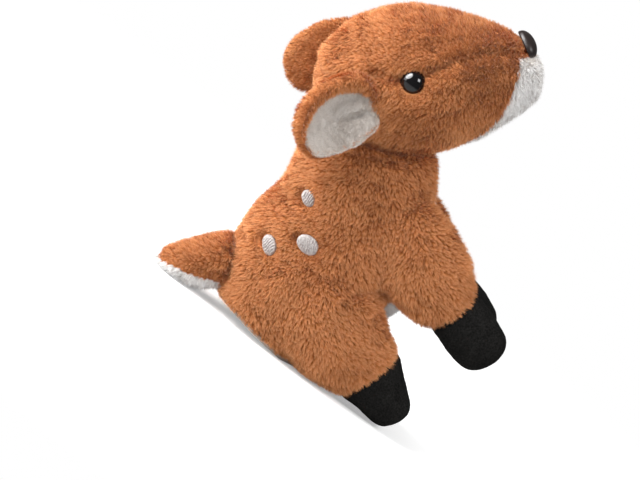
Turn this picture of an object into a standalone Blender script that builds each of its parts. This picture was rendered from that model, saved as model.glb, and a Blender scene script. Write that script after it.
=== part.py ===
"""Plush fawn finger puppet, sitting on the hem of its finger opening.

The fawn is drawn as it is worn, in millimetres forward and up from the middle of the hem,
and the whole drawing is tipped back by SIT_TILT so that the hem lies on the ground.
World axes: +X forward, +Y the fawn's left, +Z up, with the origin under the finger pocket.
"""

import math

import bmesh
import bpy
from mathutils import Matrix, Vector
from mathutils.bvhtree import BVHTree

MM = 0.001

# Pose
SIT_TILT = math.radians(38.0)
SEAT_DROP = 3.0
SEAT_SHIFT = 8.0
HEM_FRONT = 4.0
HEM_RISE = math.radians(8.5)

# Cloth
PLUSH = 1.3
GAP = 0.3
SEAM = 0.3

# Finger pocket
BORE_RADIUS = 10.0
POCKET_WALL = 0.8
POCKET_DEPTH = 50.0
FLANGE = 1.0

# Body sections from neck to hem: forward, up, half depth, half width
TORSO = [
    (25.0, 68.0, 19.5, 14.0),
    (24.0, 59.5, 21.3, 15.0),
    (22.6, 51.0, 23.0, 16.5),
    (19.5, 40.5, 25.5, 18.0),
    (11.2, 28.4, 28.2, 19.0),
    (1.0, 19.0, 24.0, 18.5),
    (-5.5, 9.0, 21.0, 16.5),
    (-12.0, 1.0, 17.0, 15.0),
]

# Leg sections from root to hoof: forward, up, half depth, half width
FRONT_LEG = [
    (30.0, 40.0, 13.0, 6.5),
    (36.0, 30.0, 15.5, 8.5),
    (42.0, 22.0, 13.5, 8.6),
    (48.0, 13.0, 8.7, 8.0),
    (53.5, 5.0, 9.2, 7.8),
    (57.5, -0.5, 8.2, 7.0),
]
REAR_LEG = [
    (-1.0, 27.0, 13.0, 7.0),
    (6.0, 17.0, 17.0, 9.5),
    (14.0, 5.0, 16.5, 9.5),
    (22.3, -5.5, 10.8, 8.2),
    (26.5, -13.0, 8.5, 7.4),
    (29.0, -18.0, 7.0, 6.4),
]
FRONT_LEG_SIDE = 11.0
REAR_LEG_SIDE = 12.5
HOOF_TOE = 4.5

# Head sections from back to snout: forward, up, half height, half width
HEAD = [
    (12.5, 83.0, 15.5, 13.0),
    (18.5, 82.6, 21.0, 17.5),
    (28.7, 82.1, 23.8, 20.5),
    (39.3, 82.1, 24.2, 21.0),
    (48.4, 82.6, 22.2, 19.0),
    (57.4, 82.2, 19.8, 15.5),
    (65.0, 82.9, 15.8, 12.0),
    (71.0, 82.6, 11.8, 9.0),
]
HEAD_BACK = 6.0
SNOUT = 6.0

# Head seams in side view, forward and up
GUSSET_SEAM = [(90.0, 90.5), (70.5, 91.5), (60.7, 94.9), (48.7, 94.1), (38.6, 91.4),
               (34.7, 88.0), (25.6, 89.8), (10.0, 88.0), (-10.0, 86.0)]
MUZZLE_SEAM = [(90.0, 87.5), (68.5, 89.8), (67.7, 84.0), (65.4, 78.2), (63.2, 72.0), (58.3, 67.0),
               (46.0, 60.5), (40.0, 50.0)]

# White belly panel: inner edge, outer edge and half width, from throat to hem
BELLY = [
    ((43.0, 66.0), (62.0, 66.0), 3.0),
    ((43.5, 46.0), (66.0, 46.0), 4.5),
    ((40.0, 34.0), (76.0, 30.0), 9.0),
    ((27.0, 25.0), (80.0, 8.0), 10.8),
    ((14.0, 15.0), (74.0, -14.0), 12.0),
    ((4.0, -6.0), (58.0, -36.0), 12.4),
    ((-2.0, -26.0), (14.0, -46.0), 12.4),
]

# Tail sections from root to tip: forward, up, half height, half width
TAIL = [
    (-12.0, 28.0, 8.8, 7.5),
    (-22.0, 27.6, 8.2, 8.0),
    (-30.0, 27.0, 7.0, 7.2),
    (-36.0, 26.8, 5.6, 5.4),
]
TAIL_TIP = 4.5
TAIL_SEAM = [(-50.0, 32.0), (-38.0, 28.8), (-26.0, 24.0), (-8.0, 17.0)]

# Ears: base and tip in forward, up and side; the left ear is folded higher than the right
EAR_RIGHT = ((25.5, 80.5, 17.5), (-1.5, 75.5, 24.0))
EAR_LEFT = ((28.0, 83.8, 17.0), (2.4, 84.3, 22.5))
EAR_HALF_WIDTH = 12.4
EAR_CUP = 3.4
EAR_CLOTH = 1.2
EAR_TAPER = 0.16
LINING_INSET = 3.0
LINING_DROP = 1.6

# Eyes and nose
EYE_FORWARD = 34.7
EYE_UP = 88.0
EYE_RADIUS = 3.2
EYE_HEIGHT = 2.7
NOSE_AIM = (72.5, 92.0)
NOSE_ANGLE = math.radians(30.0)
NOSE_HALF_WIDTH = 4.6
NOSE_HALF_HEIGHT = 4.1
NOSE_HEIGHT = 2.8
SHANK_RADIUS = 0.9
SHANK_LENGTH = 6.0
WASHER_RADIUS = 3.4
WASHER_THICKNESS = 1.2
EYE_WASHER_SEAT = 0.5
NOSE_WASHER_SEAT = 1.5

# Spots: forward, up, half length, half width and turn in degrees
SPOTS = [(3.9, 49.8, 2.7, 2.2, 20.0), (-8.5, 36.0, 3.2, 2.2, 60.0), (3.2, 36.8, 3.4, 2.8, 30.0)]
SPOT_THREAD = 0.9

# Mesh density
TORSO_SIDES = 16
LEG_SIDES = 10
HEAD_SIDES = 18
EAR_SIDES = 16
EAR_RINGS = 2
FITTING_SIDES = 12
SPOT_SIDES = 10
CAP_RINGS = 2
WELD = 0.002
SKIRT = 2.0

# How far the cutting forms reach past the fawn
REACH = 140.0

BROWN = (0.45, 0.19, 0.08)
WHITE = (0.78, 0.75, 0.72)
BLACK = (0.012, 0.012, 0.012)
GREY = (0.62, 0.60, 0.57)


def clear_scene():
    for item in list(bpy.data.objects):
        bpy.data.objects.remove(item, do_unlink=True)


def material(name, colour, roughness):
    made = bpy.data.materials.new(name)
    made.use_nodes = True
    shader = made.node_tree.nodes["Principled BSDF"]
    shader.inputs["Base Color"].default_value = (*colour, 1.0)
    shader.inputs["Roughness"].default_value = roughness
    shader.inputs["Metallic"].default_value = 0.0
    return made


def at(forward, up, side=0.0):
    """A point of the drawing, in metres, tipped back into the sitting pose."""
    x = forward * math.cos(SIT_TILT) - up * math.sin(SIT_TILT) + SEAT_SHIFT
    z = forward * math.sin(SIT_TILT) + up * math.cos(SIT_TILT) + SEAT_DROP
    return Vector((x, side, z)) * MM


def aim(forward, up, side=0.0):
    """A direction of the drawing, tipped back into the sitting pose."""
    return (at(forward, up, side) - at(0.0, 0.0)).normalized()


def rings_of(stations, start_cap, end_cap, shrink):
    """Centre, direction, half depth and half width of every ring, round ends included."""
    rings = []
    for i, (forward, up, depth, width) in enumerate(stations):
        before = stations[max(i - 1, 0)]
        after = stations[min(i + 1, len(stations) - 1)]
        along = Vector((after[0] - before[0], after[1] - before[1])).normalized()
        rings.append((Vector((forward, up)), along, depth - shrink, width - shrink))

    def cap(ring, length, sign):
        centre, along, depth, width = ring
        made = []
        for k in range(1, CAP_RINGS):
            angle = 0.5 * math.pi * k / CAP_RINGS
            shift = along * (sign * (length - shrink) * math.sin(angle))
            made.append((centre + shift, along, depth * math.cos(angle), width * math.cos(angle)))
        pole = centre + along * (sign * (length - shrink))
        return made, pole

    head, first_pole = cap(rings[0], start_cap, -1.0)
    tail, last_pole = cap(rings[-1], end_cap, 1.0)
    return [first_pole] + head[::-1] + rings + tail + [last_pole]


def loft(name, stations, start_cap, end_cap, sides, side=0.0, shrink=0.0):
    """A closed round form along a path in the drawing's plane, moved sideways by side."""
    rings = rings_of(stations, start_cap, end_cap, shrink)
    mesh = bmesh.new()
    first = mesh.verts.new(at(*rings[0], side))
    last = mesh.verts.new(at(*rings[-1], side))
    loops = []
    for centre, along, depth, width in rings[1:-1]:
        normal = Vector((along.y, -along.x))
        loop = []
        for k in range(sides):
            angle = 2.0 * math.pi * k / sides
            spot = centre + normal * (depth * math.cos(angle))
            loop.append(mesh.verts.new(at(spot.x, spot.y, side + width * math.sin(angle))))
        loops.append(loop)
    for lower, upper in zip(loops, loops[1:]):
        for k in range(sides):
            n = (k + 1) % sides
            mesh.faces.new((lower[k], lower[n], upper[n], upper[k]))
    for k in range(sides):
        n = (k + 1) % sides
        mesh.faces.new((first, loops[0][n], loops[0][k]))
        mesh.faces.new((last, loops[-1][k], loops[-1][n]))
    return finish(name, mesh)


def finish(name, mesh):
    """Turns a bmesh into an object of flat triangles with its faces pointing out."""
    bmesh.ops.triangulate(mesh, faces=mesh.faces)
    bmesh.ops.recalc_face_normals(mesh, faces=mesh.faces)
    if mesh.calc_volume(signed=True) < 0.0:
        bmesh.ops.reverse_faces(mesh, faces=mesh.faces)
    data = bpy.data.meshes.new(name)
    mesh.to_mesh(data)
    mesh.free()
    made = bpy.data.objects.new(name, data)
    bpy.context.scene.collection.objects.link(made)
    return made


def copy_of(source, name):
    made = bpy.data.objects.new(name, source.data.copy())
    bpy.context.scene.collection.objects.link(made)
    return made


def tidy(data):
    """Welds the slivers that a cut leaves and makes every face a flat triangle again."""
    mesh = bmesh.new()
    mesh.from_mesh(data)
    bmesh.ops.triangulate(mesh, faces=mesh.faces)
    bmesh.ops.remove_doubles(mesh, verts=mesh.verts, dist=WELD * MM)
    mesh.to_mesh(data)
    mesh.free()


def boolean(target, operation, cutters, keep=False):
    """Applies one Boolean for each cutter, then removes the cutters."""
    for cutter in cutters:
        step = target.modifiers.new(cutter.name, "BOOLEAN")
        step.operation = operation
        step.solver = "EXACT"
        step.object = cutter
        bpy.context.view_layer.update()
        graph = bpy.context.evaluated_depsgraph_get()
        data = bpy.data.meshes.new_from_object(target.evaluated_get(graph))
        target.modifiers.clear()
        target.data = data
        tidy(data)
        if not keep:
            bpy.data.objects.remove(cutter, do_unlink=True)
    return target


def dress(target, look, smooth_angle=50.0):
    """Gives a piece its only material and smooth shading."""
    target.data.materials.clear()
    target.data.materials.append(look)
    for face in target.data.polygons:
        face.material_index = 0
    target.data.shade_smooth()
    target.data.set_sharp_from_angle(angle=math.radians(smooth_angle))
    return target


def prism(name, outline, half_width, centre=0.0):
    """A side-view outline in the drawing, thickened across the fawn."""
    mesh = bmesh.new()
    right = [mesh.verts.new(at(f, u, centre - half_width)) for f, u in outline]
    left = [mesh.verts.new(at(f, u, centre + half_width)) for f, u in outline]
    mesh.faces.new(right)
    mesh.faces.new(left[::-1])
    for k in range(len(outline)):
        n = (k + 1) % len(outline)
        mesh.faces.new((right[n], right[k], left[k], left[n]))
    return finish(name, mesh)


def ladder(name, rungs, shrink=0.0):
    """A band between two lines of the drawing whose half width changes from rung to rung."""
    mesh = bmesh.new()
    corners = []
    for inner, outer, half_width in rungs:
        width = half_width - shrink
        step = (Vector(outer) - Vector(inner)).normalized() * shrink
        start = Vector(inner) + step
        corners.append([
            mesh.verts.new(at(start.x, start.y, -width)),
            mesh.verts.new(at(*outer, -width)),
            mesh.verts.new(at(*outer, width)),
            mesh.verts.new(at(start.x, start.y, width)),
        ])
    for low, high in zip(corners, corners[1:]):
        for k in range(4):
            n = (k + 1) % 4
            mesh.faces.new((low[k], low[n], high[n], high[k]))
    mesh.faces.new(corners[0][::-1])
    mesh.faces.new(corners[-1])
    return finish(name, mesh)


def revolve(name, profile, place, sides=16, stretch=(1.0, 1.0)):
    """A turned form: (radius, height) pairs from one pole to the other, heights along local Z."""
    mesh = bmesh.new()
    loops = []
    for radius, height in profile:
        if radius == 0.0:
            loops.append([mesh.verts.new((0.0, 0.0, height * MM))])
            continue
        loop = []
        for k in range(sides):
            angle = 2.0 * math.pi * k / sides
            loop.append(mesh.verts.new((
                radius * stretch[0] * math.cos(angle) * MM,
                radius * stretch[1] * math.sin(angle) * MM,
                height * MM,
            )))
        loops.append(loop)
    for low, high in zip(loops, loops[1:]):
        for k in range(sides):
            n = (k + 1) % sides
            if len(low) == 1:
                mesh.faces.new((low[0], high[n], high[k]))
            elif len(high) == 1:
                mesh.faces.new((low[k], low[n], high[0]))
            else:
                mesh.faces.new((low[k], low[n], high[n], high[k]))
    bmesh.ops.transform(mesh, matrix=place, verts=mesh.verts)
    return finish(name, mesh)


def frame_at(origin, up, toward=Vector((0.0, 0.0, 1.0))):
    """A placement whose local Z is up and whose local X leans toward a given direction."""
    z = up.normalized()
    x = (toward - z * toward.dot(z)).normalized()
    y = z.cross(x)
    return Matrix.Translation(origin) @ Matrix((x, y, z)).transposed().to_4x4()


def seat(form, origin, direction):
    """Where a straight line meets a form, with the form's outward normal there."""
    mesh = bmesh.new()
    mesh.from_mesh(form.data)
    tree = BVHTree.FromBMesh(mesh)
    mesh.free()
    spot, normal, _, _ = tree.ray_cast(origin, direction)
    return spot, normal


def hem_cutter(name, lift=0.0):
    """Everything below the ground and below the hem, which rises towards the tail."""
    back = REACH * math.tan(HEM_RISE)
    mesh = bmesh.new()
    outline = [(REACH, lift), (HEM_FRONT, lift), (HEM_FRONT - REACH, back + lift),
               (HEM_FRONT - REACH, -REACH), (REACH, -REACH)]
    right = [mesh.verts.new(Vector((x, -REACH, z)) * MM) for x, z in outline]
    left = [mesh.verts.new(Vector((x, REACH, z)) * MM) for x, z in outline]
    mesh.faces.new(right)
    mesh.faces.new(left[::-1])
    for k in range(len(outline)):
        n = (k + 1) % len(outline)
        mesh.faces.new((right[n], right[k], left[k], left[n]))
    return finish(name, mesh)


def ground_cutter(name, lift=0.0):
    """Everything below a level plane at a height above the ground."""
    mesh = bmesh.new()
    bmesh.ops.create_cube(mesh, size=2.0 * REACH * MM)
    bmesh.ops.translate(mesh, verts=mesh.verts, vec=(0.0, 0.0, (lift - REACH) * MM))
    return finish(name, mesh)


def body_form(name, shrink):
    """Torso and four legs as one closed form, smaller all round by shrink."""
    form = loft(name, TORSO, 3.0, 3.0, TORSO_SIDES, shrink=shrink)
    legs = []
    for side in (-1.0, 1.0):
        legs.append(loft("front_leg", FRONT_LEG, 6.0, HOOF_TOE, LEG_SIDES,
                         side * FRONT_LEG_SIDE, shrink))
        legs.append(loft("rear_leg", REAR_LEG, 6.0, HOOF_TOE, LEG_SIDES,
                         side * REAR_LEG_SIDE, shrink))
    return boolean(form, "UNION", legs)


def head_form(name, shrink):
    return loft(name, HEAD, HEAD_BACK, SNOUT, HEAD_SIDES, shrink=shrink)


def tail_form(name, shrink):
    return loft(name, TAIL, 3.0, TAIL_TIP, LEG_SIDES, shrink=shrink)


def hoof_cutter(name, stations, side, gap=0.0):
    """A box round one leg from its hoof seam to beyond its toe."""
    seam = len(stations) // 2
    forward, up = stations[seam][:2]
    ahead = stations[seam + 1]
    behind = stations[seam - 1]
    along = Vector((ahead[0] - behind[0], ahead[1] - behind[1])).normalized()
    across = Vector((along.y, -along.x))
    start = Vector((forward, up)) + along * gap
    wide = 15.0
    long = 34.0
    outline = [start + across * wide, start + across * wide + along * long,
               start - across * wide + along * long, start - across * wide]
    return prism(name, outline, abs(side), side)


def hoof_cutters(gap):
    made = []
    for side in (-1.0, 1.0):
        made.append(hoof_cutter("front_hoof", FRONT_LEG, side * FRONT_LEG_SIDE * 1.2, gap))
        made.append(hoof_cutter("rear_hoof", REAR_LEG, side * REAR_LEG_SIDE * 1.2, gap))
    return made


def half_space(name, side):
    """One side of the fawn, right for -1 and left for +1, up to the seam along its middle."""
    outline = [(-REACH, -REACH), (REACH, -REACH), (REACH, REACH), (-REACH, REACH)]
    return prism(name, outline, 0.5 * REACH, side * 0.5 * (REACH + SEAM))


def shifted(outline, forward, up):
    return [(f + forward, u + up) for f, u in outline]


def gusset_cutter(name, shift=0.0):
    seam = shifted(GUSSET_SEAM, 0.0, shift)
    return prism(name, seam + [(seam[-1][0], REACH), (seam[0][0], REACH)], REACH)


def muzzle_cutter(name, shift=0.0):
    seam = shifted(MUZZLE_SEAM, shift, -shift)
    return prism(name, seam + [(REACH, seam[-1][1]), (REACH, seam[0][1])], REACH)


def tail_cutter(name, shift=0.0):
    seam = shifted(TAIL_SEAM, 0.0, -shift)
    return prism(name, seam + [(seam[-1][0], -REACH), (seam[0][0], -REACH)], REACH)


def dome(radius, height, steps=4):
    """Radius and height pairs from a dome's rim to its top."""
    pairs = []
    for k in range(steps):
        angle = 0.5 * math.pi * k / steps
        pairs.append((radius * math.cos(angle), height * math.sin(angle)))
    return pairs + [(0.0, height)]


def body(brown, white, velour, lining, filling):
    shell = body_form("body_shell", 0.0)
    boolean(shell, "DIFFERENCE", [
        body_form("body_hollow", PLUSH),
        head_form("head_room", -GAP),
        hem_cutter("hem_cut"),
    ])

    for stations, spread, which in ((FRONT_LEG, FRONT_LEG_SIDE, "front"),
                                    (REAR_LEG, REAR_LEG_SIDE, "rear")):
        for side, hand in ((-1.0, "right"), (1.0, "left")):
            hoof = copy_of(shell, f"hoof_{which}_{hand}")
            cutter = hoof_cutter("hoof_box", stations, side * spread * 1.2)
            dress(boolean(hoof, "INTERSECT", [cutter]), velour)

    boolean(shell, "DIFFERENCE", hoof_cutters(-SEAM))
    belly = copy_of(shell, "belly_panel")
    dress(boolean(belly, "INTERSECT", [ladder("belly_band", BELLY, SEAM)]), white)

    boolean(shell, "DIFFERENCE", [ladder("belly_band", BELLY)])
    for side, hand in ((-1.0, "right"), (1.0, "left")):
        panel = copy_of(shell, f"body_side_{hand}")
        dress(boolean(panel, "INTERSECT", [half_space("half", side)]), brown)
    bpy.data.objects.remove(shell, do_unlink=True)

    inside = PLUSH + GAP
    outer = BORE_RADIUS + POCKET_WALL
    top = POCKET_DEPTH + POCKET_WALL
    def tube(name, radius, height, sides=20):
        profile = [(0.0, -6.0), (radius, -6.0)]
        profile += [(r, height - radius + h) for r, h in dome(radius, radius)]
        return revolve(name, profile, Matrix.Identity(4), sides)

    pocket = body_form("finger_pocket", inside)
    boolean(pocket, "INTERSECT", [hem_cutter("flange_top", FLANGE)])
    boolean(pocket, "UNION", [tube("tube", outer, top)])
    boolean(pocket, "DIFFERENCE", [hem_cutter("hem_cut"), tube("bore", BORE_RADIUS, POCKET_DEPTH)])
    dress(pocket, lining)

    stuffing = body_form("body_stuffing", inside)
    boolean(stuffing, "DIFFERENCE", [
        hem_cutter("flange_room", FLANGE + GAP),
        head_form("head_room", -GAP),
        tube("pocket_room", outer + GAP, top + GAP),
    ])
    dress(stuffing, filling)


def tail(brown, white, filling):
    shell = tail_form("tail_shell", 0.0)
    hollow = boolean(tail_form("tail_hollow", PLUSH), "DIFFERENCE", [ground_cutter("floor", PLUSH)])
    boolean(shell, "DIFFERENCE", [
        hollow,
        loft("rump_room", TORSO, 3.0, 3.0, TORSO_SIDES, shrink=-GAP),
        ground_cutter("ground"),
    ])
    under = copy_of(shell, "tail_underside")
    dress(boolean(under, "INTERSECT", [tail_cutter("tail_seam", SEAM)]), white)
    shell.name = "tail_top"
    dress(boolean(shell, "DIFFERENCE", [tail_cutter("tail_seam")]), brown)
    stuffing = tail_form("tail_stuffing", PLUSH + GAP)
    boolean(stuffing, "DIFFERENCE", [
        loft("rump_room", TORSO, 3.0, 3.0, TORSO_SIDES, shrink=-GAP),
        ground_cutter("floor", PLUSH + GAP),
    ])
    dress(stuffing, filling)


def fitting(name, place, profile, stretch, look):
    """A moulded cap with a shank behind it, and the cutters that make room for the shank."""
    shank = [(0.0, -SHANK_LENGTH), (SHANK_RADIUS, -SHANK_LENGTH)]
    skirt = [(0.0, -SKIRT), (profile[0][0], -SKIRT)]
    cap = revolve(name, skirt + profile, place, FITTING_SIDES, stretch)
    boolean(cap, "DIFFERENCE", [head_form("head_room", -GAP)])
    stem = revolve("stem", shank + [(SHANK_RADIUS, 0.5), (0.0, 0.5)], place, 8)
    return dress(boolean(cap, "UNION", [stem]), look, 40.0)


def rod(name, place, radius, low, high, sides=8):
    return revolve(name, [(0.0, low), (radius, low), (radius, high), (0.0, high)], place, sides)


def washer(name, place, depth, look):
    top = -(PLUSH + depth + GAP)
    ring = rod(name, place, WASHER_RADIUS, top - WASHER_THICKNESS, top, 10)
    boolean(ring, "DIFFERENCE", [rod("hole", place, SHANK_RADIUS + GAP, top - 3.0, top + 3.0)])
    return dress(ring, look, 40.0)


def washer_room(place, depth):
    """What the head's stuffing leaves free round a washer and its shank."""
    bottom = -(PLUSH + depth + GAP + WASHER_THICKNESS + GAP)
    return [
        rod("washer_room", place, WASHER_RADIUS + GAP, bottom, 2.0, 12),
        rod("shank_room", place, SHANK_RADIUS + GAP, -SHANK_LENGTH - GAP, 2.0),
    ]


def head(brown, white, filling, gloss, satin, clip):
    form = head_form("head_shell", 0.0)
    places = []
    for side, hand in ((-1.0, "right"), (1.0, "left")):
        spot, normal = seat(form, at(EYE_FORWARD, EYE_UP, side * 60.0), Vector((0.0, -side, 0.0)))
        place = frame_at(spot, normal)
        places.append((place, EYE_WASHER_SEAT))
        fitting(f"eye_{hand}", place, dome(EYE_RADIUS, EYE_HEIGHT, 4), (1.0, 1.0), gloss)
        washer(f"eye_washer_{hand}", place, EYE_WASHER_SEAT, clip)

    facing = aim(math.cos(NOSE_ANGLE), math.sin(NOSE_ANGLE))
    spot, _ = seat(form, at(*NOSE_AIM) + facing * 30.0 * MM, -facing)
    place = frame_at(spot, facing)
    places.append((place, NOSE_WASHER_SEAT))
    stretch = (NOSE_HALF_HEIGHT / NOSE_HALF_WIDTH, 1.0)
    fitting("nose", place, dome(NOSE_HALF_WIDTH, NOSE_HEIGHT, 4), stretch, satin)
    washer("nose_washer", place, NOSE_WASHER_SEAT, clip)

    boolean(form, "DIFFERENCE", [head_form("head_hollow", PLUSH)])
    for place, _ in places:
        hole = rod("shank_hole", place, SHANK_RADIUS + GAP, -SHANK_LENGTH, 3.0)
        boolean(form, "DIFFERENCE", [hole])

    gusset = copy_of(form, "head_gusset")
    dress(boolean(gusset, "INTERSECT", [gusset_cutter("gusset", SEAM)]), brown)
    muzzle = copy_of(form, "muzzle_panel")
    dress(boolean(muzzle, "INTERSECT", [muzzle_cutter("muzzle", SEAM)]), white)
    boolean(form, "DIFFERENCE", [gusset_cutter("gusset"), muzzle_cutter("muzzle")])
    for side, hand in ((-1.0, "right"), (1.0, "left")):
        panel = copy_of(form, f"head_side_{hand}")
        dress(boolean(panel, "INTERSECT", [half_space("half", side)]), brown)
    bpy.data.objects.remove(form, do_unlink=True)

    stuffing = head_form("head_stuffing", PLUSH + GAP)
    for place, depth in places:
        boolean(stuffing, "DIFFERENCE", washer_room(place, depth))
    dress(stuffing, filling)


def ear_cloth(name, ends, side, inset, drop, low, high, look):
    """One cloth of an ear: a leaf between two heights above the dish that both cloths share."""
    base, tip = (at(forward, up, side * out) for forward, up, out in ends)
    rings = EAR_RINGS
    sides = EAR_SIDES
    along = (tip - base).normalized()
    out = Vector((0.0, side, 0.0))
    out = (out - along * out.dot(along)).normalized()
    across = out.cross(along)
    middle = (base + tip) * 0.5
    reach = (tip - base).length * 0.5 / MM
    half_length = reach - inset
    half_width = EAR_HALF_WIDTH - inset
    mesh = bmesh.new()

    def leaf_vertex(share, angle, height):
        run = half_length * math.cos(angle) * share
        wide = half_width * math.sin(angle) * share * (1.0 - EAR_TAPER * math.cos(angle))
        wide -= side * drop
        depth = 1.0 - (run / reach) ** 2 - (wide / EAR_HALF_WIDTH) ** 2
        rise = height - EAR_CUP * depth
        return mesh.verts.new(middle + (along * run + across * wide + out * rise) * MM)

    layers = []
    for height in (low, high):
        loops = []
        for ring in range(rings, 0, -1):
            share = ring / rings
            loops.append([leaf_vertex(share, 2.0 * math.pi * k / sides, height)
                          for k in range(sides)])
        loops.append([leaf_vertex(0.0, 0.0, height)])
        layers.append(loops)
    for loops in layers:
        for outer, inner in zip(loops, loops[1:]):
            for k in range(sides):
                n = (k + 1) % sides
                if len(inner) == 1:
                    mesh.faces.new((outer[k], outer[n], inner[0]))
                else:
                    mesh.faces.new((outer[k], outer[n], inner[n], inner[k]))
    for k in range(sides):
        n = (k + 1) % sides
        mesh.faces.new((layers[0][0][k], layers[0][0][n], layers[1][0][n], layers[1][0][k]))
    leaf = finish(name, mesh)
    return dress(boolean(leaf, "DIFFERENCE", [head_form("head_room", -GAP)]), look)


def ears(brown, white):
    for side, hand, ends in ((-1.0, "right", EAR_RIGHT), (1.0, "left", EAR_LEFT)):
        ear_cloth(f"ear_back_{hand}", ends, side, 0.0, 0.0, -EAR_CLOTH, 0.0, brown)
        ear_cloth(f"ear_lining_{hand}", ends, side, LINING_INSET, LINING_DROP, GAP,
                  GAP + EAR_CLOTH, white)


def spots(thread):
    """Oval satin stitching laid on the sides of the back."""
    form = body_form("spot_base", -GAP)
    for side, hand in ((-1.0, "right"), (1.0, "left")):
        for number, (forward, up, half_length, half_width, turn) in enumerate(SPOTS, 1):
            spot, normal = seat(form, at(forward, up, side * 60.0), Vector((0.0, -side, 0.0)))
            toward = aim(math.cos(math.radians(turn)), math.sin(math.radians(turn)))
            place = frame_at(spot, normal, toward)
            profile = [(0.0, -SKIRT), (half_length, -SKIRT)] + dome(half_length, SPOT_THREAD, 2)
            stretch = (1.0, half_width / half_length)
            made = revolve(f"spot_{hand}_{number}", profile, place, SPOT_SIDES, stretch)
            dress(boolean(made, "DIFFERENCE", [form], keep=True), thread)
    bpy.data.objects.remove(form, do_unlink=True)


def build():
    clear_scene()
    brown = material("brown_plush", BROWN, 0.95)
    white = material("white_plush", WHITE, 0.95)
    velour = material("black_velour", BLACK, 0.9)
    lining = material("lining_cloth", GREY, 0.9)
    filling = material("stuffing", (0.85, 0.85, 0.83), 1.0)
    gloss = material("eye_plastic", BLACK, 0.08)
    satin = material("nose_plastic", (0.02, 0.018, 0.018), 0.35)
    clip = material("washer_plastic", WHITE, 0.5)
    thread = material("embroidery_thread", (0.7, 0.67, 0.66), 0.6)
    body(brown, white, velour, lining, filling)
    tail(brown, white, filling)
    head(brown, white, filling, gloss, satin, clip)
    ears(brown, white)
    spots(thread)


build()
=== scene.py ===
"""Looks of the plush fawn finger puppet: cloth skins, pile, eyes, nose, stitching, light and camera."""

import math

import bmesh
import bpy
import numpy as np
from mathutils import Matrix, Vector
from mathutils.bvhtree import BVHTree
from mathutils.kdtree import KDTree


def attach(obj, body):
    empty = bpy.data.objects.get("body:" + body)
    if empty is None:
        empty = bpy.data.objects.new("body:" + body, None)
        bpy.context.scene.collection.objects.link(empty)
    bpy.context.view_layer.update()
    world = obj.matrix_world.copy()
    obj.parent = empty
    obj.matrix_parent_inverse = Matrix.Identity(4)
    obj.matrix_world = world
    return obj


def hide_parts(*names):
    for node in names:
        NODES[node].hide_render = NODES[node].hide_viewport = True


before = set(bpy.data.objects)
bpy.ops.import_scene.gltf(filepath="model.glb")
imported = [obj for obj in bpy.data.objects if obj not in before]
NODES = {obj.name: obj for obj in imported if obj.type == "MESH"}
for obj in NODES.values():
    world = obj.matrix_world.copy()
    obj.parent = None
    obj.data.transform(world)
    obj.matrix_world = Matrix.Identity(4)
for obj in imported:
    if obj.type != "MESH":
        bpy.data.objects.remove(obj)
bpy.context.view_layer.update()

MM = 0.001
SIDES = ((-1.0, "right"), (1.0, "left"))

# The fawn is described as worn, forward and up in millimetres, and sits tipped back by this much
SIT_TILT = math.radians(38.0)
SEAT = np.array([8.0, 0.0, 3.0])
SIT = np.array([[math.cos(SIT_TILT), 0.0, -math.sin(SIT_TILT)], [0.0, 1.0, 0.0],
                [math.sin(SIT_TILT), 0.0, math.cos(SIT_TILT)]])

# Camera: drawing point at the picture's centre, width of the view and distance, in millimetres
VIEW_CENTRE = (9.07, 32.76)
VIEW_WIDTH = 192.0
VIEW_DISTANCE = 2200.0

# The picture's right and up directions, as forward, side and up of the worn fawn
VIEW_RIGHT = (0.9925, -0.122, 0.0)
VIEW_UP = (0.038, 0.307, 0.951)

# Cloth: voxel of the soft forms, thickness of a skin, and how far each form grows
VOXEL = 0.9
CLOTH = 0.5
BODY_GROW = 0.75
HEAD_GROW = -1.6
TAIL_GROW = 1.0
HOOF_GROW = 1.0
STUFFING_INSET = 0.9
WELD = 0.00001

# The lowest that cloth and pile reach, in metres
CLOTH_FLOOR = 0.0004
PILE_FLOOR = 0.0002

# Sunken seams: depth and width
BODY_SEAM = (0.8, 1.3)
HEAD_SEAM = (0.4, 1.3)

# Folds in the sides of the body: start, end, depth and width
FOLDS = [((17.3, 21.8), (28.0, 20.0), 1.5, 1.7), ((0.4, 54.4), (-0.5, 40.5), 0.45, 1.6),
         ((18.0, 65.0), (34.0, 61.5), 1.8, 2.4), ((35.0, 61.2), (43.0, 57.0), 1.6, 2.2)]

# Broad hollows and fuller places (depth below zero) of the body: place, radius and depth
HOLLOWS = [((-6.0, 48.3), 9.0, 1.3), ((53.0, 33.0), 8.0, 1.0), ((37.0, 10.5), 5.0, -1.8)]

# Where the top panel of the head meets its sides, the sides step down and the seam is a crease
SEAM_STEP = 1.9
STEP_WIDTH = 2.6
CREASE_DEPTH = 0.6
CREASE_WIDTH = 1.0
CROWN_DROP = 0.6
BROW_SWELL = 0.35

# Seam between the top panel and the sides of the head, from the eye to the nose
SNOUT_SEAM = [(36.0, 89.0), (39.3, 90.0), (47.5, 92.9), (55.9, 93.1), (66.4, 92.4), (76.0, 91.5)]

# Pile
MAX_STRANDS = 190000
STRAND_WIDTH = 0.25
CRISP = 0.5
UV_NAME = "OFBake"

# Face
EYE = (34.7, 86.1)
EYE_RADIUS = 3.8
EYE_HEIGHT = 3.0
EYE_PROUD = 0.5
SOCKET_DEPTH = 1.5
SOCKET_RADIUS = 5.0
NOSE = (72.5, 92.0)
NOSE_ANGLE = math.radians(23.0)
NOSE_RADIUS = 4.9
NOSE_HEIGHT = 3.0
NOSE_SINK = 0.3

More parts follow.
